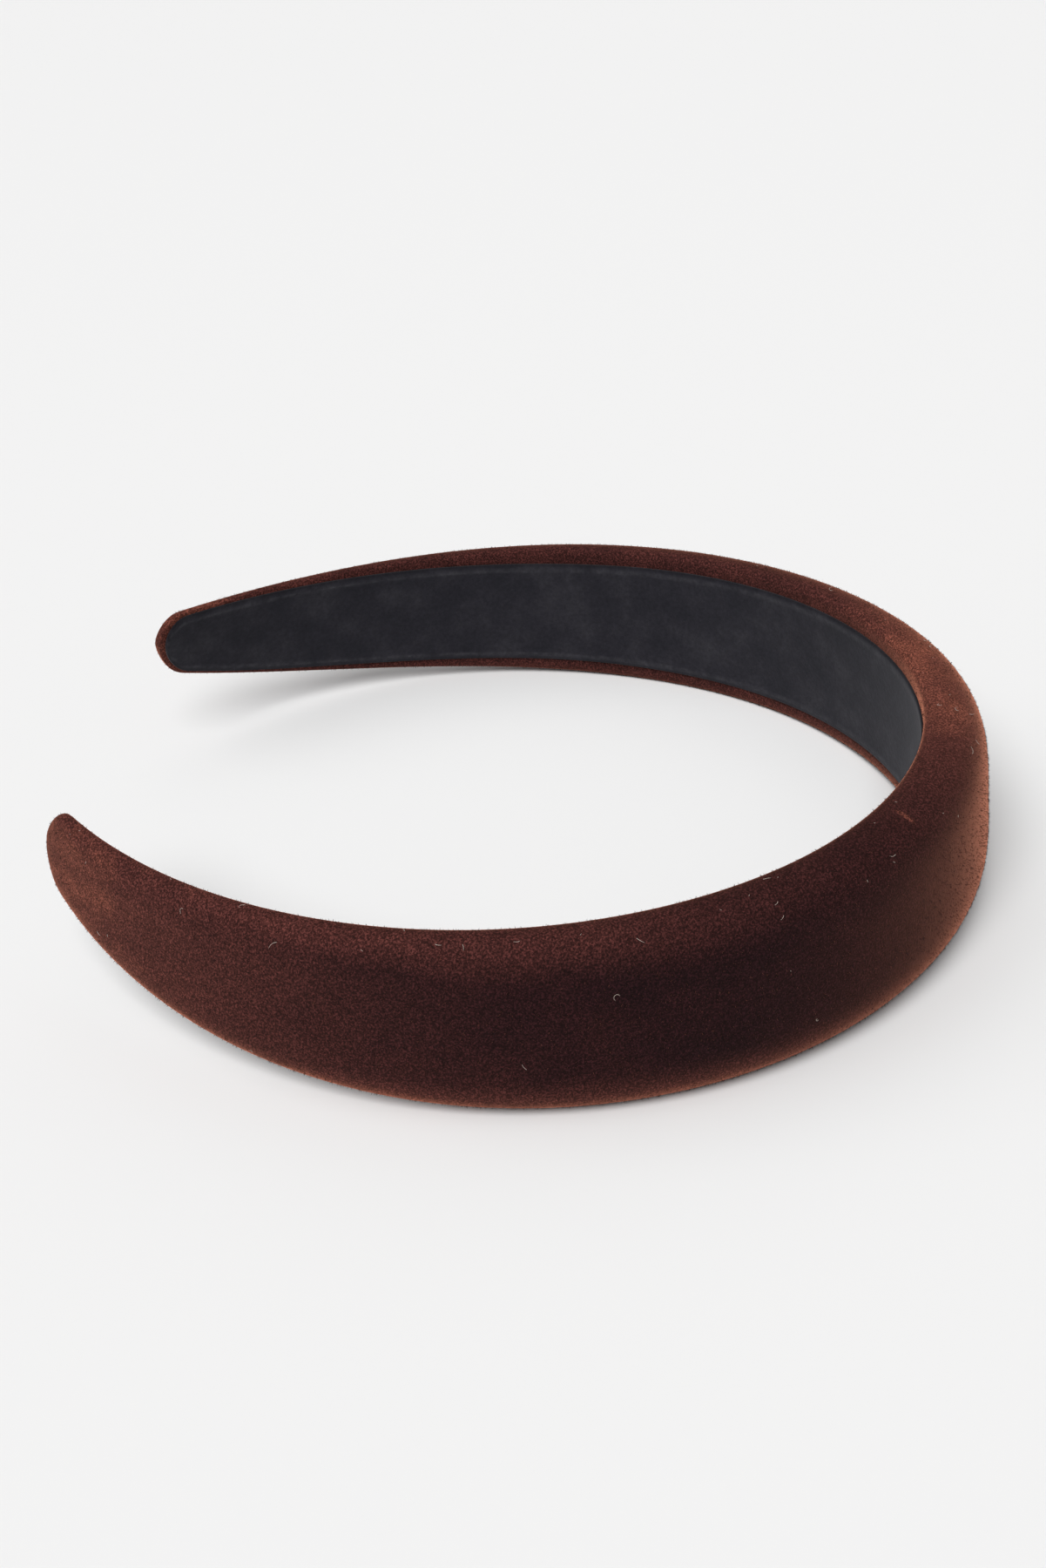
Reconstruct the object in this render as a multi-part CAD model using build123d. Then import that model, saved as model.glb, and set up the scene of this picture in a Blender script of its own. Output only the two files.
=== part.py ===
from build123d import *
import math
import os

# A padded Alice band, lying on its lower edge as it rests on a table.
# +Z is up, across the width of the band. +Y points to the crown, the middle of the band.
# +X is the right arm. The left arm is its mirror image in the plane X = 0.
# The origin is on the table, at the centre of the bounding box in plan.
# All sizes are in millimetres, and all angles in degrees.
#
# Each layer is lofted through sections set square to the arm. In a section, depth is
# measured outward from the inner face of the cover, and side runs up the band's width.

# --- Driving dimensions ------------------------------------------------------------------

ARM_LENGTH = 190.0  # along the inner face, from the crown to a tip
CROWN_RADIUS = 65.1  # of the inner face in plan, at the crown
TIP_RADIUS = 97.2  # of the inner face in plan, at a tip
CURVE_FADE = 2.25  # how soon the crown's curvature gives way to the arm's

CROWN_WIDTH = 31.0
TIP_WIDTH = 12.5
WIDTH_FADE = 3.86  # the width holds along the arm and narrows near the tip
TIP_ROUND = 5.0  # length of the rounded end of a tip

CROWN_THICKNESS = 10.5  # inner face to the top of the pad
TIP_THICKNESS = 2.1
CROWN_BLEND = 0.1  # the taper starts over this share of the arm, so the crown has no crease
EDGE_RADIUS = 0.5  # between the inner face and the side
SHOULDER_SHARE = 0.52  # of half the width, taken by each rounded shoulder of the dome

ARM_DIP = 8.8  # how the middle line falls from the crown
TIP_RISE = 16.05  # and rises again to the tip
CROWN_LEAN = 5.0  # the upper edge leans in over the head space
TIP_LEAN = 12.4

COVER = 0.5  # velvet with its backing
CORE_CROWN = 2.0  # moulded plastic strip
CORE_TIP = 0.7
PAD_GLUE = 0.1
END_WALL = 0.8  # of velvet past the end of the strip
LINING = 0.5
LINING_MARGIN = 3.2  # velvet hem left showing beside the lining at the crown
LINING_TIP_MARGIN = 0.75  # and beside it near a tip
LINING_END_MARGIN = 1.1  # and past its rounded end
MARGIN_FADE = (0.5, 0.95)  # the hem narrows between these shares of the arm
GAP_SHARE = 0.42  # of the band's width, left between the two hems and filled with glue
GAP_END = 16.0  # the gap between the hems stops this far from the tip

# --- Fixed by how the layers are drawn -----------------------------------------------------

STATIONS = 22  # sections along the arm before the first rounded end
ROUND_SHARES = (0, 0.35, 0.62, 0.8, 0.92, 0.98)  # sections along a rounded end
CURVE_STEPS = 760  # of the numeric integration along the arm
TOOL_MARGIN = 0.2  # a cutting tool runs this far past the face it cuts

CORE_LENGTH = ARM_LENGTH - END_WALL
LINING_LENGTH = ARM_LENGTH - LINING_END_MARGIN


def share(s):
    return min(s / ARM_LENGTH, 1.0)


def fade(s):
    """0 at the crown, 1 at a tip, and level at the crown."""
    full = math.hypot(1.0, CROWN_BLEND) - CROWN_BLEND
    return (math.hypot(share(s), CROWN_BLEND) - CROWN_BLEND) / full


def curvature(s):
    sharp = 1.0 / CROWN_RADIUS - 1.0 / TIP_RADIUS
    return 1.0 / TIP_RADIUS + sharp * (1.0 - share(s) ** 2) ** CURVE_FADE


def walk(s):
    """Position and heading in plan at arc length s, by the midpoint rule."""
    x, y, heading = 0.0, 0.0, 0.0
    steps = max(1, round(CURVE_STEPS * s / ARM_LENGTH))
    ds = s / steps
    for i in range(steps):
        turn = curvature((i + 0.5) * ds) * ds
        x += math.cos(heading + turn / 2) * ds
        y -= math.sin(heading + turn / 2) * ds
        heading += turn
    return x, y, heading


def section_plane(s):
    """Across the arm at s. Local X is outward and local Y runs up the width."""
    x, y, heading = walk(s)
    lean = math.radians(CROWN_LEAN + (TIP_LEAN - CROWN_LEAN) * share(s) ** 4)
    height = TIP_RISE * share(s) ** 4 - ARM_DIP * share(s) ** 2
    outward = Vector(math.sin(heading), math.cos(heading), 0)
    return Plane(
        origin=(x, y, height),
        x_dir=outward * math.cos(lean) + Vector(0, 0, math.sin(lean)),
        z_dir=(math.cos(heading), -math.sin(heading), 0),
    )


def half_width(s):
    return (CROWN_WIDTH + (TIP_WIDTH - CROWN_WIDTH) * share(s) ** WIDTH_FADE) / 2


def thickness(s):
    return CROWN_THICKNESS + (TIP_THICKNESS - CROWN_THICKNESS) * fade(s)


def rounding(s, end):
    """Share of the width left at s on a rounded end that stops at end."""
    q = max(0.0, (s - end + TIP_ROUND) / TIP_ROUND)
    return math.sqrt(1 - min(q, 1.0) ** 2)


def round_stations(end):
    return [end - TIP_ROUND * (1 - q) for q in ROUND_SHARES]


def stations(stop):
    """Arc lengths of the sections up to stop. All layers share them, so faces that touch match."""
    plain_end = ARM_LENGTH - GAP_END - TIP_ROUND
    found = [plain_end * i / STATIONS for i in range(STATIONS)]
    for end in (ARM_LENGTH - GAP_END, LINING_LENGTH, ARM_LENGTH):
        found += round_stations(end)
    found.append(CORE_LENGTH)
    return [s for s in sorted(found) if s <= stop]


def core_half(s):
    return half_width(s) * rounding(s, ARM_LENGTH) - COVER


def core_top(s):
    return COVER + CORE_CROWN + (CORE_TIP - CORE_CROWN) * share(s)


def pad_base(s):
    return core_top(s) + PAD_GLUE


def gap_half(s):
    return GAP_SHARE * half_width(s) * rounding(s, ARM_LENGTH - GAP_END)


def lining_half(s):
    t = (share(s) - MARGIN_FADE[0]) / (MARGIN_FADE[1] - MARGIN_FADE[0])
    t = min(max(t, 0.0), 1.0)
    margin = LINING_MARGIN - (LINING_MARGIN - LINING_TIP_MARGIN) * t**2 * (3 - 2 * t)
    return (half_width(s) - margin) * rounding(s, LINING_LENGTH)


def dome(spring, top, half):
    """The domed line from side to side: two elliptical shoulders and a level middle."""
    level = half * (1 - SHOULDER_SHARE)
    rise, reach = top - spring, half - level
    return [
        EllipticalCenterArc((spring, level), rise, reach, 0, arc_size=90),
        Line((top, -level), (top, level)),
        EllipticalCenterArc((spring, -level), rise, reach, -90, arc_size=90),
    ]


def envelope_section(s):
    """Outline of the covered band."""
    half = half_width(s) * rounding(s, ARM_LENGTH)
    round_off = EDGE_RADIUS * rounding(s, ARM_LENGTH)
    flat = half - round_off
    return [
        *dome(round_off, thickness(s), half),
        RadiusArc((round_off, -half), (0, -flat), round_off),
        Line((0, -flat), (0, flat)),
        RadiusArc((0, flat), (round_off, half), round_off),
    ]


def filling_section(s):
    """Outline of what the cover holds: strip, glue and foam, split where they meet."""
    half = core_half(s)
    depths = (COVER, core_top(s), pad_base(s))
    climb = [Line((a, half), (b, half)) for a, b in zip(depths, depths[1:])]
    drop = [Line((b, -half), (a, -half)) for a, b in zip(depths, depths[1:])]
    return [
        Line((COVER, -half), (COVER, half)),
        *climb,
        *dome(pad_base(s), thickness(s) - COVER, half),
        *reversed(drop),
    ]


def foam_section(s):
    half = core_half(s)
    base = pad_base(s)
    return [*dome(base, thickness(s) - COVER, half), Line((base, -half), (base, half))]


def strip_section(low, high, half):
    corners = [(low, -half), (low, half), (high, half), (high, -half)]
    return [Line(a, b) for a, b in zip(corners, corners[1:] + corners[:1])]


def layer(section, arcs):
    """The solid through the outlines that section gives, set square to the arm."""
    rings = [[section_plane(s) * edge for edge in section(s)] for s in arcs]
    faces = [make_face(rings[0]), make_face(rings[-1])]
    for before, after in zip(rings, rings[1:]):
        for low, high in zip(before, after):
            faces.append(Face.make_surface_from_curves(low, high))
    return Solid(Shell(faces))


def right_arm():
    """The layers of the right arm, by name, from the outside in."""
    inner = stations(CORE_LENGTH)
    gap = stations(ARM_LENGTH - GAP_END)
    cut_depth = COVER + TOOL_MARGIN

    envelope = layer(envelope_section, stations(ARM_LENGTH))
    filling = layer(filling_section, inner)
    cut = layer(lambda s: strip_section(-TOOL_MARGIN, cut_depth, gap_half(s)), gap)
    return {
        "velvet_cover": envelope - filling - cut,
        "foam_pad": layer(foam_section, inner),
        "pad_adhesive": layer(
            lambda s: strip_section(core_top(s), pad_base(s), core_half(s)), inner
        ),
        "spring_core": layer(
            lambda s: strip_section(COVER, core_top(s), core_half(s)), inner
        ),
        "lining_adhesive": layer(lambda s: strip_section(0, COVER, gap_half(s)), gap),
        "lining": layer(
            lambda s: strip_section(-LINING, 0, lining_half(s)),
            stations(LINING_LENGTH),
        ),
    }


arm = right_arm()
outside = Compound([arm["velvet_cover"], arm["lining"]]).bounding_box()
middle_y = (outside.min.Y + outside.max.Y) / 2
to_origin = Pos(0, -middle_y, -outside.min.Z)

os.makedirs("parts", exist_ok=True)
for name, solid in arm.items():
    right = to_origin * solid
    export_step(right, f"parts/{name}_right.step")
    export_step(mirror(right, about=Plane.YZ), f"parts/{name}_left.step")

print("crown's outermost line at y =", round(outside.max.Y - middle_y, 3))
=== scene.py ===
import bmesh
import bpy
import math
import numpy as np
from mathutils import Matrix, Vector


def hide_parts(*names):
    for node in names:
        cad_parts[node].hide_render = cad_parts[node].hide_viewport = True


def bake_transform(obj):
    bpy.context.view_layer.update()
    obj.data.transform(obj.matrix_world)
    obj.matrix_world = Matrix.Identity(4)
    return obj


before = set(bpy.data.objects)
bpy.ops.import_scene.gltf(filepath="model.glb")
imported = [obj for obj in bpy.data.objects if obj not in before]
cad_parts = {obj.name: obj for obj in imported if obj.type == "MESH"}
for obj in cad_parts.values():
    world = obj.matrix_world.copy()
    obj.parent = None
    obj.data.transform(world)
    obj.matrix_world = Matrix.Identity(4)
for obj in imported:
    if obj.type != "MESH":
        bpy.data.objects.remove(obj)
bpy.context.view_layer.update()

# A padded velvet Alice band. The band is one continuous piece of each material, so every
# layer runs from the left tip through the crown to the right tip and bends across the
# crown joint. Lengths below are in millimetres and are turned into metres in place().

MM = 0.001

# --- The band's own line, as in the CAD ---------------------------------------------------------

ARM = 190.0  # along the inner face, from the crown to a tip
CROWN_RADIUS = 65.1
TIP_RADIUS = 97.2
CURVE_FADE = 2.25
CROWN_WIDTH = 31.0
TIP_WIDTH = 12.5
WIDTH_FADE = 3.86
TIP_ROUND = 5.0
CROWN_THICKNESS = 10.5
TIP_THICKNESS = 2.1
CROWN_BLEND = 0.1
ARM_DIP = 8.8
TIP_RISE = 16.05
CROWN_LEAN = 5.0
TIP_LEAN = 12.4
CROWN_Y = 66.086  # the middle of the inner face at the crown, in the frame
CROWN_Z = 16.123

# --- The layers ---------------------------------------------------------------------------------

COVER = 0.5
EDGE_RADIUS = 1.3  # the velvet rolls over from the side to the inner face
EDGE_FADE = 0.6  # and that radius shrinks by this share towards the tips,
EDGE_FADE_SPAN = (0.5, 0.9)  # between these shares of the arm
EDGE_SHARE = 0.4  # but takes no more than this share of the thickness
TIP_PINCH = 0.55  # share of the thickness lost round the end of a tip
SIDE_POWER = 2 / 4.77  # how square the section is towards its sides
DOME_POWER = 2 / 2.33  # and towards its crown
SKIN = 0.42  # thickness of the velvet's own mesh
CORE_CROWN = 2.0
CORE_TIP = 0.7
CORE_BEVEL = 0.4
PAD_GLUE = 0.1
PAD_GLUE_BEVEL = 0.02
END_WALL = 0.8
CLEARANCE = 0.15  # kept between the filling and the cover, so neither shows through
LINING_MARGIN = 3.2
LINING_TIP_MARGIN = 0.75
LINING_END_MARGIN = 1.1
MARGIN_FADE = (0.5, 0.95)  # the hem beside the lining narrows between these shares of the arm
LINING_LENGTH = ARM - LINING_END_MARGIN
GAP_SHARE = 0.42
GAP_END = 16.0
SEAL_INSET = 0.05  # the glue between the hems stops this far short of them
SEAL_DEPTHS = (0.02, COVER - 0.02)

# --- Mesh detail --------------------------------------------------------------------------------

PLAN_STEPS = 4000  # of the numeric integration along an arm
RING_STEP = 2.0
INNER_RING_STEP = 4  # for the layers that don't show
END_ANGLES = (12, 25, 38, 51, 63, 74, 83, 88)  # rings round the end of a tip
DOME_SAMPLES = 721
OUTER_POINTS = 30
FOAM_POINTS = 26
HEM_POINTS = 5
CORNER_ANGLES = (30, 60, 90)  # points where the velvet rolls over its edge

rng = np.random.default_rng(20)


def share(s):
    return np.minimum(np.abs(s) / ARM, 1.0)


def line_table():
    """Arc length, plan position and heading along one arm, by the trapezium rule."""
    u = np.linspace(0, 1, PLAN_STEPS + 1)
    sharp = 1 / CROWN_RADIUS - 1 / TIP_RADIUS
    bend = 1 / TIP_RADIUS + sharp * (1 - u**2) ** CURVE_FADE
    ds = ARM / PLAN_STEPS

    def along(f):
        return np.concatenate([[0], np.cumsum((f[1:] + f[:-1]) / 2 * ds)])

    heading = along(bend)
    return u * ARM, along(np.cos(heading)), -along(np.sin(heading)), heading


LINE = line_table()


def place(s, side, depth):
    """Points in metres, from arc length (negative on the left), side and depth.

    Side runs up the band's width, and depth outward from the cover's inner face.
    """
    s, side, depth = np.broadcast_arrays(*(np.asarray(a, float) for a in (s, side, depth)))
    u = share(s)
    x, y, heading = (np.interp(np.abs(s), LINE[0], row) for row in LINE[1:])
    z = TIP_RISE * u**4 - ARM_DIP * u**2
    lean = np.radians(CROWN_LEAN + (TIP_LEAN - CROWN_LEAN) * u**4)
    out = depth * np.cos(lean) - side * np.sin(lean)
    up = depth * np.sin(lean) + side * np.cos(lean)
    x = (x + out * np.sin(heading)) * np.where(s < 0, -1, 1)
    y = y + out * np.cos(heading) + CROWN_Y
    return np.stack([x, y, z + up + CROWN_Z], axis=-1) * MM


def half_width(s):
    return (CROWN_WIDTH + (TIP_WIDTH - CROWN_WIDTH) * share(s) ** WIDTH_FADE) / 2


def thickness(s):
    full = math.hypot(1, CROWN_BLEND) - CROWN_BLEND
    fade = (np.hypot(share(s), CROWN_BLEND) - CROWN_BLEND) / full
    return CROWN_THICKNESS + (TIP_THICKNESS - CROWN_THICKNESS) * fade


def rounding(s, end):
    """Share of the width left at s on a rounded end that stops at end."""
    q = np.clip((np.abs(s) - end + TIP_ROUND) / TIP_ROUND, 0, 1)
    return np.sqrt(1 - q**2)


def core_top(s):
    return COVER + CORE_CROWN + (CORE_TIP - CORE_CROWN) * share(s)


def eased(x, low=0.0, high=1.0):
    """0 below low and 1 above high, with a smooth step between."""
    x = np.clip((x - low) / (high - low), 0, 1)
    return x**2 * (3 - 2 * x)


def lining_half(s):
    narrowed = eased(share(s), *MARGIN_FADE)
    margin = LINING_MARGIN - (LINING_MARGIN - LINING_TIP_MARGIN) * narrowed
    return (half_width(s) - margin) * rounding(s, LINING_LENGTH)


def gap_half(s):
    return GAP_SHARE * half_width(s) * rounding(s, ARM - GAP_END)


def arcs(end, step=RING_STEP):
    """Signed arc lengths from tip to tip, closer together round the two ends."""
    straight = np.linspace(0, end - TIP_ROUND, int(round((end - TIP_ROUND) / step)) + 1)
    ends = end - TIP_ROUND * (1 - np.sin(np.radians(END_ANGLES)))
    right = np.concatenate([straight, ends])
    return np.concatenate([-right[:0:-1], right])


def even(points, count):
    """count points at equal distances along a line of points."""
    run = np.concatenate([[0], np.cumsum(np.hypot(*np.diff(points, axis=0).T))])
    at = np.linspace(0, run[-1], count)
    return np.stack([np.interp(at, run, points[:, i]) for i in (0, 1)], axis=1)


def dome(half, base, top, count):
    """(side, depth) along the padded side, from the lower edge to the upper one."""
    a = np.radians(np.linspace(-90, 90, DOME_SAMPLES))
    side = half * np.sign(np.sin(a)) * np.abs(np.sin(a)) ** SIDE_POWER
    depth = base + (top - base) * np.abs(np.cos(a)) ** DOME_POWER
    return even(np.stack([side, depth], axis=1), count)


# --- Mesh helpers -------------------------------------------------------------------------------

def mesh_object(name, verts, faces, smooth=True):
    me = bpy.data.meshes.new(name)
    me.from_pydata([tuple(v) for v in verts], [], [tuple(int(i) for i in f) for f in faces])
    me.validate()
    me.update()
    if smooth:
        me.shade_smooth()
    ob = bpy.data.objects.new(name, me)
    bpy.context.scene.collection.objects.link(ob)
    return ob


def skin(name, rings, closed):
    """A mesh through rings of (n, 3) points. Closed rings join up and are capped at both ends."""
    count, n = len(rings), len(rings[0])
    verts = np.concatenate(rings)
    faces = []
    for i in range(count - 1):
        for j in range(n if closed else n - 1):
            k = (j + 1) % n
            faces.append((i * n + j, (i + 1) * n + j, (i + 1) * n + k, i * n + k))
    if closed:
        faces.append(tuple(range(n)))
        faces.append(tuple((count - 1) * n + j for j in reversed(range(n))))
    return mesh_object(name, verts, faces)


def weld(ob, distance=1e-6):
    bm = bmesh.new()
    bm.from_mesh(ob.data)
    bmesh.ops.remove_doubles(bm, verts=bm.verts, dist=distance)
    bmesh.ops.recalc_face_normals(bm, faces=bm.faces)
    bm.to_mesh(ob.data)
    bm.free()


def apply_modifiers(ob):
    bpy.context.view_layer.update()
    graph = bpy.context.evaluated_depsgraph_get()
    made = bpy.data.meshes.new_from_object(ob.evaluated_get(graph))
    ob.modifiers.clear()
    old = ob.data
    ob.data = made
    bpy.data.meshes.remove(old)
    made.name = ob.name


def coords(ob):
    co = np.zeros(len(ob.data.vertices) * 3)
    ob.data.vertices.foreach_get("co", co)
    return co.reshape(-1, 3)


def set_coords(ob, co):
    ob.data.vertices.foreach_set("co", co.astype(np.float32).ravel())
    ob.data.update()


def store(ob, name, values):
    """Keeps one number per vertex, for the materials to read."""
    layer = ob.data.attributes.new(name, "FLOAT", "POINT")
    layer.data.foreach_set("value", np.asarray(values, np.float32))


def unit(v):
    return v / np.maximum(np.linalg.norm(v, axis=1), 1e-12)[:, None]


# --- Velvet cover -------------------------------------------------------------------------------

def cover_ring(s):
    """(side, depth) from one hem edge, round the padded side, to the other hem edge."""
    half = half_width(s) * rounding(s, ARM)
    thin = thickness(s) * (1 - TIP_PINCH + TIP_PINCH * rounding(s, ARM) ** 0.5)
    low = (thickness(s) - thin) * 0.5
    edge = EDGE_RADIUS * (1 - EDGE_FADE * eased(share(s), *EDGE_FADE_SPAN)) * rounding(s, ARM)
    edge = min(edge, thin * EDGE_SHARE)
    outer = dome(half, low + edge, low + thin, OUTER_POINTS)
    turn = np.radians(CORNER_ANGLES)
    corner = np.stack([half - edge + edge * np.cos(turn), low + edge - edge * np.sin(turn)], 1)
    hem_side = np.linspace(half - edge, min(gap_half(s), half - edge), HEM_POINTS + 1)[1:]
    hem = np.stack([hem_side, np.full(HEM_POINTS, low)], 1)
    upper = np.concatenate([corner, hem])
    lower = (upper * [-1, 1])[::-1]
    return np.concatenate([lower, outer, upper])


def make_cover():
    stops = arcs(ARM)
    flat_rings = [cover_ring(s) for s in stops]
    rings = [place(s, r[:, 0], r[:, 1]) for s, r in zip(stops, flat_rings)]
    left, right = (place(t, 0, thickness(ARM) / 2) for t in (-ARM, ARM))
    rings = [np.repeat(left[None], len(rings[0]), 0), *rings]
    rings.append(np.repeat(right[None], len(rings[0]), 0))
    ob = skin("velvet_cover", rings, closed=False)
    weld(ob)
    return ob


SAMPLE_STRIDE = 10  # of the line's points, when looking for the nearest one
SEARCH_CHUNK = 2000  # points looked up at a time


def arc_side_depth(points):
    """Signed arc length, side and depth of points in metres, by the nearest place on the line."""
    p = points / MM - [0, CROWN_Y, CROWN_Z]
    x, y = np.abs(p[:, 0]), p[:, 1]
    ls, lx, ly = (row[::SAMPLE_STRIDE] for row in LINE[:3])
    best = np.empty(len(p))
    for i in range(0, len(p), SEARCH_CHUNK):
        part = slice(i, i + SEARCH_CHUNK)
        d = (x[part, None] - lx) ** 2 + (y[part, None] - ly) ** 2
        best[part] = ls[d.argmin(1)]
    heading = np.interp(best, LINE[0], LINE[3])
    out = (x - np.interp(best, LINE[0], LINE[1])) * np.sin(heading)
    out += (y - np.interp(best, LINE[0], LINE[2])) * np.cos(heading)
    u = share(best)
    up = p[:, 2] - (TIP_RISE * u**4 - ARM_DIP * u**2)
    lean = np.radians(CROWN_LEAN + (TIP_LEAN - CROWN_LEAN) * u**4)
    side = up * np.cos(lean) - out * np.sin(lean)
    depth = out * np.cos(lean) + up * np.sin(lean)
    return best * np.where(p[:, 0] < 0, -1, 1), side, depth


# The cloth is free above the glued face and short of the tips, over these ramps in
# millimetres: where each starts, and how far it takes to be fully free.
FREE_DEPTH = (0.6, 1.2)
FREE_TIP = (9, 12)
FULLY_FREE = 0.999
SWELL_CAP = 0.35  # the most the padded side may swell
SWELL_FRAMES = 20
CLOTH = {
    "quality": 7,
    "mass": 0.0006,
    "tension_stiffness": 6,
    "compression_stiffness": 6,
    "shear_stiffness": 2,
    "bending_stiffness": 0.02,
    "tension_damping": 6,
    "air_damping": 2,
    "use_pressure": True,
    "uniform_pressure_force": 4,
    "vertex_group_mass": "pins",
    "pin_stiffness": 1,
}


def puff(ob):
    """Lets the padded side swell under pressure, with the glued inner face held."""
    start = coords(ob)
    s, side, depth = arc_side_depth(start)
    free = np.clip((depth - FREE_DEPTH[0]) / FREE_DEPTH[1], 0, 1)
    free = free * np.clip((ARM - FREE_TIP[0] - np.abs(s)) / FREE_TIP[1], 0, 1)
    pins = ob.vertex_groups.new(name="pins")
    for i, w in enumerate(free):
        if w < FULLY_FREE:
            pins.add([i], 1 - float(w), "REPLACE")
    cloth = ob.modifiers.new("Cloth", "CLOTH")
    for key, value in CLOTH.items():
        setattr(cloth.settings, key, value)
    cloth.settings.effector_weights.gravity = 0
    cloth.point_cache.frame_start, cloth.point_cache.frame_end = 1, SWELL_FRAMES
    scene = bpy.context.scene
    for f in range(1, SWELL_FRAMES + 1):
        scene.frame_set(f)
    graph = bpy.context.evaluated_depsgraph_get()
    done = ob.evaluated_get(graph)
    moved = np.array([v.co for v in done.data.vertices], float) - start
    ob.modifiers.clear()
    ob.vertex_groups.clear()
    scene.frame_set(1)
    # Only the outward part is kept, so the velvet never sinks into the foam.
    normals = np.array([v.normal for v in ob.data.vertices], float)
    outward = np.einsum("ij,ij->i", moved, normals)
    moved = normals * np.maximum(outward, 0)[:, None]
    size = np.linalg.norm(moved, axis=1)
    limit = SWELL_CAP * MM * free
    keep = limit * np.tanh(size / np.maximum(limit, 1e-9)) / np.maximum(size, 1e-12)
    set_coords(ob, start + moved * keep[:, None])


cover = make_cover()
puff(cover)
thick = cover.modifiers.new("Thick", "SOLIDIFY")
thick.thickness = SKIN * MM
thick.offset = -1
thick.thickness_clamp = 1.0
smooth = cover.modifiers.new("Smooth", "SUBSURF")
smooth.levels = smooth.render_levels = 1
apply_modifiers(cover)


# How much lighter the velvet is painted along the shoulders, by arc length from the left tip:
# partly where the pile opens over the edge, partly painted sheen and highlight where the light
# falls on them.
SHOULDER_SHEEN_AT = (-190, -120, -60, -32, -14, 8, 26, 48, 80, 115, 190)
UPPER_SHOULDER_SHEEN = (0.55, 0.52, 0.5, 0.8, 1.0, 0.85, 0.42, 0.12, 0.38, 0.6, 0.8)
LOWER_SHOULDER_SHEEN = (0.6, 0.6, 0.6, 0.7, 0.75, 0.7, 0.7, 0.8, 1.0, 1.0, 0.95)
SHOULDER_FROM = 0.45  # share of half the width where a shoulder starts
TIP_SHEEN_SPAN = (0.47, 1.0)  # shares of the arm over which the tip is painted lighter, as painted sheen
TIP_SHEEN_LEVEL = 0.85  # and how light it gets


def mark_shoulder_sheen(ob):
    """Stores how much lighter the velvet is painted over the shoulders and at the tips: partly
    the pile opening, partly painted sheen.
    """
    s, side, depth = arc_side_depth(coords(ob))
    width = np.abs(side) / np.maximum(half_width(s) * rounding(s, ARM), 1)
    sheen_share = np.where(side > 0, np.interp(s, SHOULDER_SHEEN_AT, UPPER_SHOULDER_SHEEN),
                       np.interp(s, SHOULDER_SHEEN_AT, LOWER_SHOULDER_SHEEN))
    sheen_over_shoulder = eased(width, SHOULDER_FROM) * sheen_share
    sheen_towards_tip = eased(np.abs(s) / ARM, *TIP_SHEEN_SPAN) * TIP_SHEEN_LEVEL
    store(ob, "shoulder", np.maximum(sheen_over_shoulder, sheen_towards_tip))


mark_shoulder_sheen(cover)


# --- The layers inside --------------------------------------------------------------------------

def layer(name, outline, end, step=INNER_RING_STEP):
    rings = []
    for s in arcs(end, step):
        r = outline(s)
        rings.append(place(s, r[:, 0], r[:, 1]))
    ob = skin(name, rings, closed=True)
    weld(ob)
    return ob


def box_outline(half, low, high, bevel):
    """A rectangle with its corners taken off in two steps."""
    bevel = min(bevel, (high - low) * 0.4, half * 0.4)
    mid = (low + high) / 2
    corners = []
    for cx, cy, a0 in ((1, -1, -90), (1, 1, 0), (-1, 1, 90), (-1, -1, 180)):
        for a in (0, 45, 90):
            t = math.radians(a0 + a)
            corners.append((cx * (half - bevel) + bevel * math.cos(t),
                            mid + cy * ((high - low) / 2 - bevel) + bevel * math.sin(t)))
    return np.array(corners)


def core_half(s):
    return np.maximum(half_width(s) * rounding(s, ARM) - COVER - CLEARANCE, 0.2)


def core_outline(s):
    return box_outline(core_half(s), COVER, core_top(s), CORE_BEVEL)


def glue_outline(s):
    return box_outline(core_half(s), core_top(s), core_top(s) + PAD_GLUE, PAD_GLUE_BEVEL)


def foam_outline(s):
    base = core_top(s) + PAD_GLUE
    top = max(thickness(s) - COVER - CLEARANCE, base + 0.1)
    return dome(core_half(s), base, top, FOAM_POINTS)


def seal_outline(s):
    return box_outline(max(gap_half(s) - SEAL_INSET, 0.1), *SEAL_DEPTHS, SEAL_INSET)


core = layer("spring_core", core_outline, ARM - END_WALL)
pad_glue = layer("pad_adhesive", glue_outline, ARM - END_WALL)
foam = layer("foam_pad", foam_outline, ARM - END_WALL)
lining_glue = layer("lining_adhesive", seal_outline, ARM - GAP_END)


# --- Lining -------------------------------------------------------------------------------------

LINING_POINTS = 41  # across the face that shows
LINING_BACK_POINTS = 9
EDGE_CROWDING = 1.25  # how much closer those points lie towards the edges
LINING_BACK = -0.03  # depth of the glued side
LINING_FACE = -0.04  # and where the cut edge starts
LINING_RISE = 0.36  # how far the face stands proud of that
CUT_ROUND = 0.35  # width of the rounded cut edge
SEAM_INSET = 1.35  # the pressed line, in from the edge
SEAM_RISE, SEAM_WIDTH = 0.13, 0.22
FOLD_INSET, FOLD_RISE, FOLD_WIDTH = 2.0, 0.03, 0.3  # a fainter line beside it
# Width of the painted highlight on the pressed line.
SEAM_HIGHLIGHT_WIDTH = 0.35
# Width of the painted shade along the cut edge.
RIM_SHADE_WIDTH = 0.7


def hump(x, middle, width):
    return np.exp(-(((x - middle) / width) ** 2))


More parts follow.
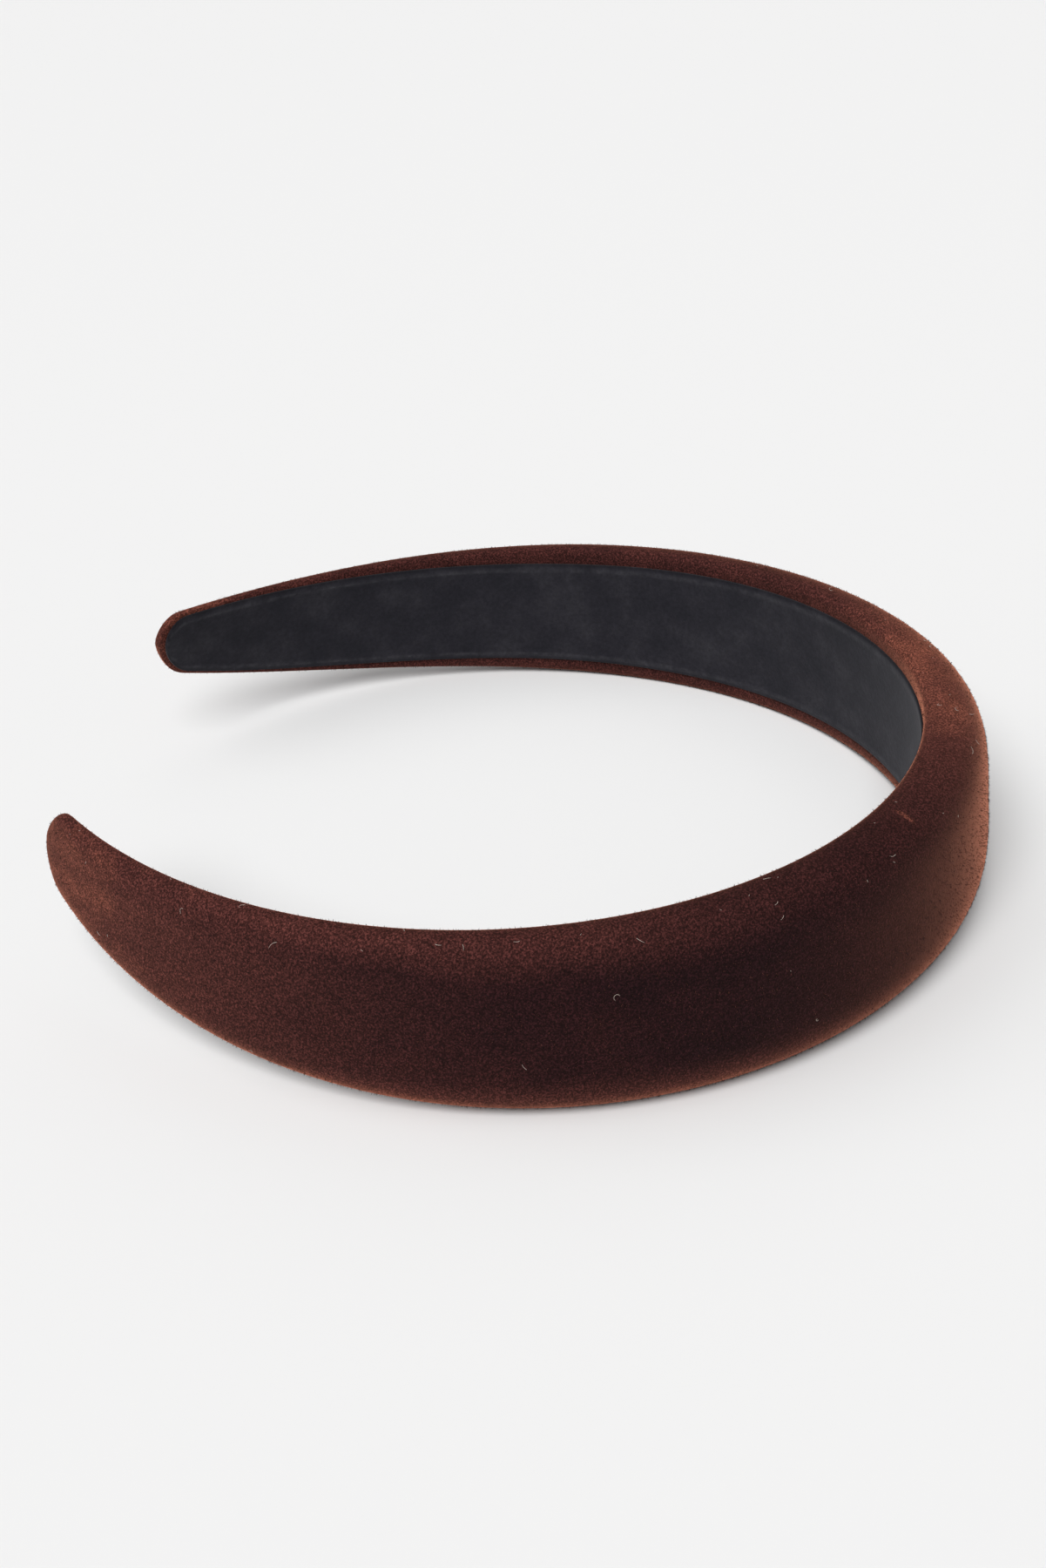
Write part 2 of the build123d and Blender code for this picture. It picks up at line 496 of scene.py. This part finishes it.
def lining_outline(s):
    """A ribbon with a raised line just inside each edge, closed on the glued side."""
    half = lining_half(s)
    t = np.linspace(-1, 1, LINING_POINTS)
    side = half * np.sign(t) * (1 - (1 - np.abs(t)) ** EDGE_CROWDING)
    inset = half - np.abs(side)
    edge = np.clip(inset / CUT_ROUND, 0, 1)
    face = LINING_RISE * np.sqrt(1 - (1 - edge) ** 2)
    face += SEAM_RISE * hump(inset, SEAM_INSET, SEAM_WIDTH)
    face += FOLD_RISE * hump(inset, FOLD_INSET, FOLD_WIDTH)
    top = np.stack([side, LINING_FACE - face], 1)
    back_side = np.linspace(half, -half, LINING_BACK_POINTS)[1:-1]
    back = np.stack([back_side, np.full(len(back_side), LINING_BACK)], 1)
    return np.concatenate([top, back])


def mark_seam(ob):
    """Stores where the pressed line inside the lining's edges gets its painted highlight, and
    where the cut edge itself gets its painted shade.
    """
    s, side, depth = arc_side_depth(coords(ob))
    inset = lining_half(s) - np.abs(side)
    store(ob, "seam", hump(inset, SEAM_INSET, SEAM_HIGHLIGHT_WIDTH))
    store(ob, "rim", 1 - eased(inset, 0, RIM_SHADE_WIDTH))


lining = layer("lining", lining_outline, LINING_LENGTH, RING_STEP)
mark_seam(lining)


# --- Pile ---------------------------------------------------------------------------------------

FIBRES = 48000
FIBRE_LENGTH = (0.2, 0.48)
FIBRE_RADIUS = (0.035, 0.06)
FIBRE_DEPTH = 0.05  # how far a fibre's foot sits in the velvet
FIBRE_ROOM = 0.1  # the least length left to a fibre pressed against the table
NAP = (0.35, -0.3)  # how the pile leans, towards the tip and downward
NAP_SPREAD = (0.4, 1.4)  # one fibre follows that lean less or more than the next
NAP_SCATTER = 0.42  # and points this far off it
SHADE_SHARES = (0.4, 0.3, 0.2, 0.1)  # of the fibres, from the darkest shade to the lightest


def triangles(ob):
    me = ob.data
    me.calc_loop_triangles()
    tri = np.zeros(len(me.loop_triangles) * 3, int)
    me.loop_triangles.foreach_get("vertices", tri)
    return tri.reshape(-1, 3)


def scatter(ob, count, allowed):
    """Random points on the triangles where allowed says so, with their face normals."""
    co, tri = coords(ob), triangles(ob)
    a, b, c = (co[tri[:, i]] for i in range(3))
    n = np.cross(b - a, c - a)
    area = np.linalg.norm(n, axis=1) / 2
    n = n / np.maximum(np.linalg.norm(n, axis=1), 1e-20)[:, None]
    weight = area * allowed((a + b + c) / 3, n)
    cum = np.cumsum(weight)
    pick = np.searchsorted(cum, rng.random(count) * cum[-1])
    u, v = rng.random(count), rng.random(count)
    flip = u + v > 1
    u, v = np.where(flip, 1 - u, u), np.where(flip, 1 - v, v)
    p = a[pick] + u[:, None] * (b - a)[pick] + v[:, None] * (c - a)[pick]
    return p, n[pick]


PROBE = 0.2  # a step out along the normal tells the outside from the folded inside
MIDDLE_SHARE = 0.35  # share of the thickness where the section is widest
SIDE_WEIGHT = 9  # of the way out to the side, against the way out in depth
UNDER_LINING = (0.3, 0.2)  # depth, and distance in from the lining's edge


def cover_outside(points, normals):
    """1 on the velvet that shows: not the folded inside, and not under the lining."""
    s, side, depth = arc_side_depth(points)
    ahead = arc_side_depth(points + normals * PROBE * MM)
    half = half_width(s) * rounding(s, ARM)
    middle = thickness(s) * MIDDLE_SHARE
    way = (ahead[1] - side) * side / np.maximum(half, 1) ** 2 * SIDE_WEIGHT
    way = way + (ahead[2] - depth) * (depth - middle)
    hidden = (depth < UNDER_LINING[0]) & (np.abs(side) < lining_half(s) - UNDER_LINING[1])
    return ((way > 0) & ~hidden).astype(float)


def tangents(points):
    """Unit vectors along the arm towards the tip, at points."""
    s, side, depth = arc_side_depth(points)
    sign = np.where(s < 0, -1.0, 1.0)
    heading = np.interp(np.abs(s), LINE[0], LINE[3])
    return np.stack([sign * np.cos(heading), -np.sin(heading), np.zeros(len(s))], 1)


def make_pile():
    """Short closed spikes, three-sided, that lean with the nap."""
    root, normal = scatter(cover, FIBRES, cover_outside)
    nap = tangents(root) * NAP[0] + [0, 0, NAP[1]]
    nap = nap * rng.uniform(*NAP_SPREAD, (FIBRES, 1))
    lean = unit(normal + nap + rng.normal(0, NAP_SCATTER, (FIBRES, 3)))
    length = rng.uniform(*FIBRE_LENGTH, (FIBRES, 1)) * MM
    room = np.maximum(root[:, 2], FIBRE_ROOM * MM) / np.maximum(-lean[:, 2], 1e-9)
    length = np.minimum(length, room[:, None])
    cross = unit(np.cross(lean, rng.normal(0, 1, (FIBRES, 3))))
    other = np.cross(lean, cross)
    r = rng.uniform(*FIBRE_RADIUS, (FIBRES, 1)) * MM
    base = root - normal * FIBRE_DEPTH * MM
    verts = np.stack([
        base + cross * r,
        base + (-0.5 * cross + 0.87 * other) * r,
        base + (-0.5 * cross - 0.87 * other) * r,
        base + lean * length,
    ], 1).reshape(-1, 3)
    sides = np.array([[0, 1, 3], [1, 2, 3], [2, 0, 3], [0, 2, 1]])
    faces = (np.arange(FIBRES)[:, None, None] * 4 + sides).reshape(-1, 3)
    ob = mesh_object("velvet_pile", verts, faces, smooth=False)
    shade = rng.choice(len(SHADE_SHARES), FIBRES, p=SHADE_SHARES)
    ob.data.polygons.foreach_set("material_index", np.repeat(shade, 4).astype(np.int32))
    return ob


pile = make_pile()


# --- Lint ---------------------------------------------------------------------------------------

LINT = 90
HAIR_SHARE = 0.42  # of the lint is long curled hairs, and the rest short specks
HAIR_LENGTH = (0.8, 1.9)
HAIR_CURL = 4.5  # the most a hair turns along its length, in radians
SPECK_LENGTH = (0.15, 0.45)
SPECK_CURL = 0.5
HAIR_RADIUS = 0.026
HAIR_STEPS = 9
HAIR_TAPER = 0.6  # share of the radius lost at the far end
HAIR_LIFT = 0.25  # how steeply a hair arches off the pile
LINT_HEIGHT = 0.42  # above the velvet, on top of the pile
LINT_DEPTH = 1.2  # none is caught nearer to the inner face than this
LINT_FLOOR = 0.12  # how likely a place is everywhere, and
LINT_FROM = 0.1  # past this share of half the width, likelier the higher it is


def curl_tube(verts, faces, start, heading, normal, length, turn):
    """Adds a thin curved hair, four-sided and closed, that lies on the pile."""
    at = len(verts)
    last = HAIR_STEPS - 1
    q, d = start, heading
    for i in range(HAIR_STEPS):
        across = unit(np.cross(d, normal)[None])[0]
        thin = HAIR_RADIUS * MM * (1 - HAIR_TAPER * (i / last) ** 2)
        for j in range(4):
            t = math.pi / 2 * j
            verts.append(q + (across * math.cos(t) + normal * math.sin(t)) * thin)
        q = q + (d + normal * HAIR_LIFT * math.sin(3.1 * i / HAIR_STEPS)) * length / last
        d = np.array(Matrix.Rotation(turn / HAIR_STEPS, 3, Vector(normal)) @ Vector(d))
    for i in range(last):
        for j in range(4):
            a, b = at + i * 4 + j, at + i * 4 + (j + 1) % 4
            faces.append((a, b, b + 4, a + 4))
    end = at + last * 4
    faces.append((at + 3, at + 2, at + 1, at))
    faces.append((end, end + 1, end + 2, end + 3))


def make_lint():
    """Pale stray hairs and specks caught in the pile, most of them high on the side."""
    def caught(points, normals):
        s, side, depth = arc_side_depth(points)
        high = np.clip(side / half_width(s) - LINT_FROM, 0, 1)
        return cover_outside(points, normals) * (LINT_FLOOR + high) * (depth > LINT_DEPTH)

    root, normal = scatter(cover, LINT, caught)
    verts, faces = [], []
    for p, n in zip(root, normal):
        heading = unit(np.cross(n, rng.normal(0, 1, 3))[None])[0]
        is_hair = rng.random() < HAIR_SHARE
        length = rng.uniform(*(HAIR_LENGTH if is_hair else SPECK_LENGTH)) * MM
        turn = rng.uniform(-HAIR_CURL, HAIR_CURL) if is_hair else SPECK_CURL
        curl_tube(verts, faces, p + n * LINT_HEIGHT * MM, heading, n, length, turn)
    return mesh_object("lint", verts, faces)


lint = make_lint()


# --- Material helpers ---------------------------------------------------------------------------

def principled(name, **values):
    m = bpy.data.materials.new(name)
    m.use_nodes = True
    nt = m.node_tree
    nt.nodes.clear()
    out = nt.nodes.new("ShaderNodeOutputMaterial")
    p = nt.nodes.new("ShaderNodeBsdfPrincipled")
    nt.links.new(p.outputs[0], out.inputs[0])
    for key, value in values.items():
        p.inputs[key.replace("_", " ")].default_value = value
    return m, nt, p


def rgba(r, g, b):
    """Linear colour from 8-bit sRGB numbers."""
    def lin(v):
        v = v / 255
        return v / 12.92 if v <= 0.04045 else ((v + 0.055) / 1.055) ** 2.4
    return (lin(r), lin(g), lin(b), 1.0)


def grey(v):
    return (v, v, v, 1.0)


def node(nt, kind, **values):
    n = nt.nodes.new("ShaderNode" + kind)
    for key, value in values.items():
        if key in n.inputs:
            n.inputs[key].default_value = value
        else:
            setattr(n, key, value)
    return n


def object_coords(nt):
    return node(nt, "TexCoord").outputs["Object"]


def attribute(nt, name):
    return node(nt, "Attribute", attribute_name=name).outputs["Fac"]


def noise_of(nt, vector, scale, detail=2.0, rough=0.5):
    n = node(nt, "TexNoise", Scale=scale, Detail=detail, Roughness=rough)
    nt.links.new(vector, n.inputs["Vector"])
    return n.outputs["Fac"]


def ramp(nt, value, stops):
    """A colour ramp through (position, colour) stops. A plain number stands for a grey."""
    n = nt.nodes.new("ShaderNodeValToRGB")
    stops = [(at, grey(c) if isinstance(c, (int, float)) else c) for at, c in stops]
    for e in list(n.color_ramp.elements)[1:]:
        n.color_ramp.elements.remove(e)
    n.color_ramp.elements[0].position, n.color_ramp.elements[0].color = stops[0]
    for at, colour in stops[1:]:
        n.color_ramp.elements.new(at).color = colour
    nt.links.new(value, n.inputs["Fac"])
    return n.outputs["Color"]


def mix(nt, factor, a, b, how="MIX"):
    n = nt.nodes.new("ShaderNodeMix")
    n.data_type, n.blend_type = "RGBA", how
    for socket, value in ((0, factor), (6, a), (7, b)):
        if isinstance(value, bpy.types.NodeSocket):
            nt.links.new(value, n.inputs[socket])
        else:
            n.inputs[socket].default_value = value
    return n.outputs[2]


def times(nt, a, b, factor=1.0):
    return mix(nt, factor, a, b, "MULTIPLY")


def scaled(nt, vector, scale):
    n = node(nt, "Mapping")
    n.inputs["Scale"].default_value = scale
    nt.links.new(vector, n.inputs["Vector"])
    return n.outputs["Vector"]


def stroke(nt, vector, centre, turn, size):
    """A short stroke: 1 at its centre and 0 past its size, in millimetres."""
    n = node(nt, "Mapping", vector_type="TEXTURE", Location=Vector(centre) * MM, Rotation=turn,
             Scale=Vector(size) * MM)
    nt.links.new(vector, n.inputs["Vector"])
    ball = node(nt, "TexGradient", gradient_type="SPHERICAL")
    nt.links.new(n.outputs["Vector"], ball.inputs["Vector"])
    return ball.outputs["Fac"]


BUMP_DEPTH = 0.0002  # in metres


def bump(nt, height, strength, p):
    b = node(nt, "Bump", Strength=strength, Distance=BUMP_DEPTH)
    nt.links.new(height, b.inputs["Height"])
    nt.links.new(b.outputs["Normal"], p.inputs["Normal"])


# --- Materials ----------------------------------------------------------------------------------

def velvet():
    m, nt, p = principled("velvet", Roughness=0.9, Sheen_Weight=1.0, Sheen_Roughness=0.32,
                          Sheen_Tint=rgba(222, 142, 112), Specular_IOR_Level=0.1)
    co = object_coords(nt)

    # Dark pile in soft patches.
    patches = noise_of(nt, scaled(nt, co, (1, 1, 1.6)), 42, 3, 0.55)
    streaks = noise_of(nt, scaled(nt, co, (1, 1, 5)), 160, 2, 0.6)
    speckle = noise_of(nt, co, 3000, 2, 0.8)
    base = ramp(nt, patches, [(0.25, rgba(23, 9, 13)), (0.5, rgba(32, 13, 16)),
                              (0.8, rgba(44, 20, 20))])

    # Painted sheen and highlight, partly the pile opening: lighter over the shoulders and at the
    # tips, unevenly.
    sheen_patches = noise_of(nt, scaled(nt, co, (1, 1, 2.2)), 95, 3, 0.6)
    painted_sheen = times(nt, attribute(nt, "shoulder"), ramp(nt, sheen_patches, [(0.3, 0.68), (0.7, 1.0)]))
    sheen_tone = ramp(nt, painted_sheen, [(0.6, rgba(73, 38, 34)), (1.0, rgba(120, 68, 54))])
    base = mix(nt, ramp(nt, painted_sheen, [(0.0, 0), (0.6, 1)]), base, sheen_tone)

    # One short lighter stroke on the upper shoulder, and the grain of the nap over all.
    lighter_stroke = stroke(nt, co, (38.0, 58.6, 31.0), (0, 0.33, 0.99), (2.6, 0.65, 0.65))
    base = mix(nt, lighter_stroke, base, rgba(98, 54, 44))
    base = times(nt, base, ramp(nt, streaks, [(0.3, 0.7), (0.7, 1.0)]), 0.55)
    base = times(nt, base, ramp(nt, speckle, [(0.36, 0.36), (0.5, 0.85), (0.66, 2.5)]))
    nt.links.new(base, p.inputs["Base Color"])
    bump(nt, speckle, 0.3, p)
    return m


def fibre(name, colour):
    return principled(name, Base_Color=colour, Roughness=0.7, Sheen_Weight=0.4,
                      Sheen_Roughness=0.4, Sheen_Tint=rgba(206, 128, 92),
                      Specular_IOR_Level=0.2)[0]


def suede():
    m, nt, p = principled("lining_suede", Roughness=0.95, Sheen_Weight=0.15,
                          Sheen_Roughness=0.5, Sheen_Tint=rgba(190, 190, 194),
                          Specular_IOR_Level=0.1)
    co = object_coords(nt)
    cloud = noise_of(nt, co, 130, 5, 0.62)
    grain = noise_of(nt, co, 1300, 3, 0.75)
    base = ramp(nt, cloud, [(0.28, rgba(27, 27, 33)), (0.5, rgba(34, 33, 39)),
                            (0.76, rgba(46, 45, 50))])

    # A painted highlight on the raised pressed line, which comes and goes.
    broken = ramp(nt, noise_of(nt, co, 420, 2, 0.5), [(0.35, 0.08), (0.65, 0.42)])
    base = mix(nt, times(nt, attribute(nt, "seam"), broken), base, rgba(74, 73, 77))
    # A painted shade line along the cut edge, where the lining meets the velvet hem.
    base = mix(nt, times(nt, attribute(nt, "rim"), grey(0.5)), base, rgba(13, 12, 14))
    base = times(nt, base, ramp(nt, grain, [(0.35, 0.55), (0.65, 1.35)]), 0.45)
    nt.links.new(base, p.inputs["Base Color"])
    bump(nt, grain, 0.35, p)
    return m


def mottled(name, dark, light, scale, roughness):
    m, nt, p = principled(name, Roughness=roughness)
    n = noise_of(nt, object_coords(nt), scale, 4, 0.6)
    nt.links.new(ramp(nt, n, [(0.3, dark), (0.7, light)]), p.inputs["Base Color"])
    bump(nt, n, 0.3, p)
    return m


FIBRE_SHADES = (rgba(23, 9, 12), rgba(33, 15, 16), rgba(53, 28, 25), rgba(92, 54, 43))

cover.data.materials.append(velvet())
for i, colour in enumerate(FIBRE_SHADES):
    pile.data.materials.append(fibre(f"pile_{i}", colour))
lint.data.materials.append(principled("lint", Base_Color=rgba(205, 190, 178), Roughness=0.8)[0])
lining.data.materials.append(suede())
foam.data.materials.append(mottled("foam", rgba(214, 205, 182), rgba(240, 234, 216), 900, 0.95))
core.data.materials.append(mottled("core_plastic", rgba(26, 26, 28), rgba(38, 38, 40), 60, 0.45))
glue = mottled("adhesive", rgba(206, 196, 160), rgba(228, 220, 190), 300, 0.3)
pad_glue.data.materials.append(glue)
lining_glue.data.materials.append(glue)


# --- What each piece stands for, and the CAD pieces it replaces ---------------------------------

LAYERS = {
    "velvet_cover": (cover, "velvet"),
    "foam_pad": (foam, "foam"),
    "pad_adhesive": (pad_glue, "adhesive"),
    "spring_core": (core, "core_plastic"),
    "lining_adhesive": (lining_glue, "adhesive"),
    "lining": (lining, "lining_suede"),
}
for name, (ob, slot) in LAYERS.items():
    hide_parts(name + "_left", name + "_right")
for ob in (cover, foam, pad_glue, core, lining_glue, lining, pile, lint):
    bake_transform(ob)


# --- Floor, light and camera --------------------------------------------------------------------

FLOOR = 9  # metres from the middle to an edge
WORLD_LIGHT = 0.20
BACKDROP = 0.9  # as bright as the lit floor


def floor():
    corners = [(-FLOOR, -FLOOR, 0), (FLOOR, -FLOOR, 0), (FLOOR, FLOOR, 0), (-FLOOR, FLOOR, 0)]
    ob = mesh_object("floor", corners, [(0, 1, 2, 3)], smooth=False)
    ob.data.materials.append(principled("floor", Base_Color=grey(0.82), Roughness=0.9,
                                        Specular_IOR_Level=0.1)[0])


floor()

# Soft lamps, far enough away to light the floor evenly: compass angle from +X towards +Y,
# elevation, strength, and the lamp's apparent size. All angles are in degrees.
LAMPS = {
    "front": (-14, 52, 2.77, 38),
    "left": (-90, 50, 0.48, 44),
    "overhead": (0, 90, 0.22, 70),
    "back": (180, 50, 0.08, 40),
}
for name, (compass, elevation, strength, spread) in LAMPS.items():
    data = bpy.data.lights.new(name, "SUN")
    data.energy, data.angle = strength, math.radians(spread)
    ob = bpy.data.objects.new(name, data)
    a, e = math.radians(compass), math.radians(elevation)
    toward = Vector((math.cos(a) * math.cos(e), math.sin(a) * math.cos(e), math.sin(e)))
    ob.rotation_mode = "QUATERNION"
    ob.rotation_quaternion = (-toward).to_track_quat("-Z", "Y")
    bpy.context.scene.collection.objects.link(ob)


def studio_world():
    """Dim even light from all round, with a backdrop as pale as the floor behind the object."""
    world = bpy.data.worlds.new("studio")
    world.use_nodes = True
    nt = world.node_tree
    light = nt.nodes["Background"]
    light.inputs["Color"].default_value = (1, 0.99, 0.985, 1)
    light.inputs["Strength"].default_value = WORLD_LIGHT
    backdrop = node(nt, "Background", Color=grey(BACKDROP))
    seen = node(nt, "LightPath").outputs["Is Camera Ray"]
    both = node(nt, "MixShader")
    for source, socket in ((seen, 0), (light.outputs[0], 1), (backdrop.outputs[0], 2)):
        nt.links.new(source, both.inputs[socket])
    nt.links.new(both.outputs[0], nt.nodes["World Output"].inputs["Surface"])
    bpy.context.scene.world = world


studio_world()
bpy.context.scene.view_settings.view_transform = "Standard"

YAW, PITCH, ROLL = 0.102, 0.530, -0.044  # in radians
DISTANCE, SLIDE_X, SLIDE_Y = 331.698, 0.825, -2.134
AIM_BACK = 70  # the camera looks at a place this far from the crown's inner face
LENS, SENSOR = 43.405, 36
CLIP = (0.01, 50)


def camera():
    back = Vector((math.cos(YAW) * math.cos(PITCH), math.sin(YAW) * math.cos(PITCH),
                   math.sin(PITCH)))
    level = Vector((-math.sin(YAW), math.cos(YAW), 0))
    up = back.cross(level)
    right = level * math.cos(ROLL) + up * math.sin(ROLL)
    above = up * math.cos(ROLL) - level * math.sin(ROLL)
    aim = Vector((0, CROWN_Y - AIM_BACK, CROWN_Z))
    data = bpy.data.cameras.new("camera")
    data.lens, data.sensor_width = LENS, SENSOR
    data.clip_start, data.clip_end = CLIP
    ob = bpy.data.objects.new("camera", data)
    turn = Matrix((right, above, back)).transposed().to_4x4()
    turn.translation = (aim + right * SLIDE_X + above * SLIDE_Y + back * DISTANCE) * MM
    ob.matrix_world = turn
    bpy.context.scene.collection.objects.link(ob)
    bpy.context.scene.camera = ob


camera()
